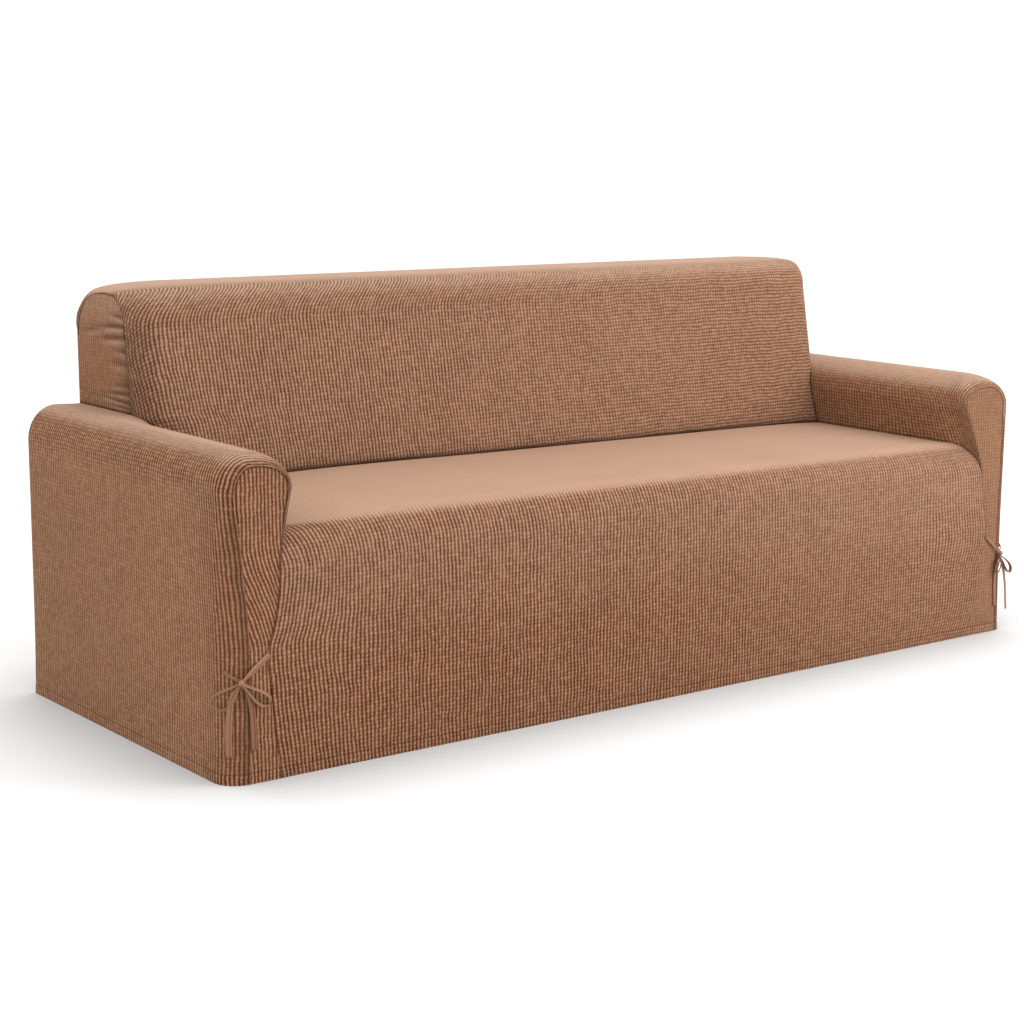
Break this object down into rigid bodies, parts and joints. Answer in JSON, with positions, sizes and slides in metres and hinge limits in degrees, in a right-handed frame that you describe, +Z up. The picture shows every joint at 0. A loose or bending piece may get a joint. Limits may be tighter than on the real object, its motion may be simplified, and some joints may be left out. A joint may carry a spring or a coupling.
{
  "type": "sofa slipcover",
  "caption": "Fitted stretch knit cover shaped to a long sofa with wide arms, open underneath, tied at the foot of each arm front.",
  "frame": {"origin": "on the floor under the middle of the cover", "axes": "+X along the sofa, to the right as seen from the front; -Y towards the front; +Z up"},
  "size_m": [2.1425, 0.8715, 0.8713],
  "materials": {
    "knit": "matte ribbed knit",
    "tie": "matte knit strip, folded double"
  },
  "bodies": {
    "root": {"seat_front": "knit", "back_front_top": "knit", "back_outer": "knit", "arm_left": "knit", "arm_front_left": "knit", "back_side_left": "knit", "arm_right": "knit", "arm_front_right": "knit", "back_side_right": "knit", "tie_left_inner": "tie", "tie_left_outer": "tie", "tie_right_inner": "tie", "tie_right_outer": "tie"}
  },
  "joints": []
}
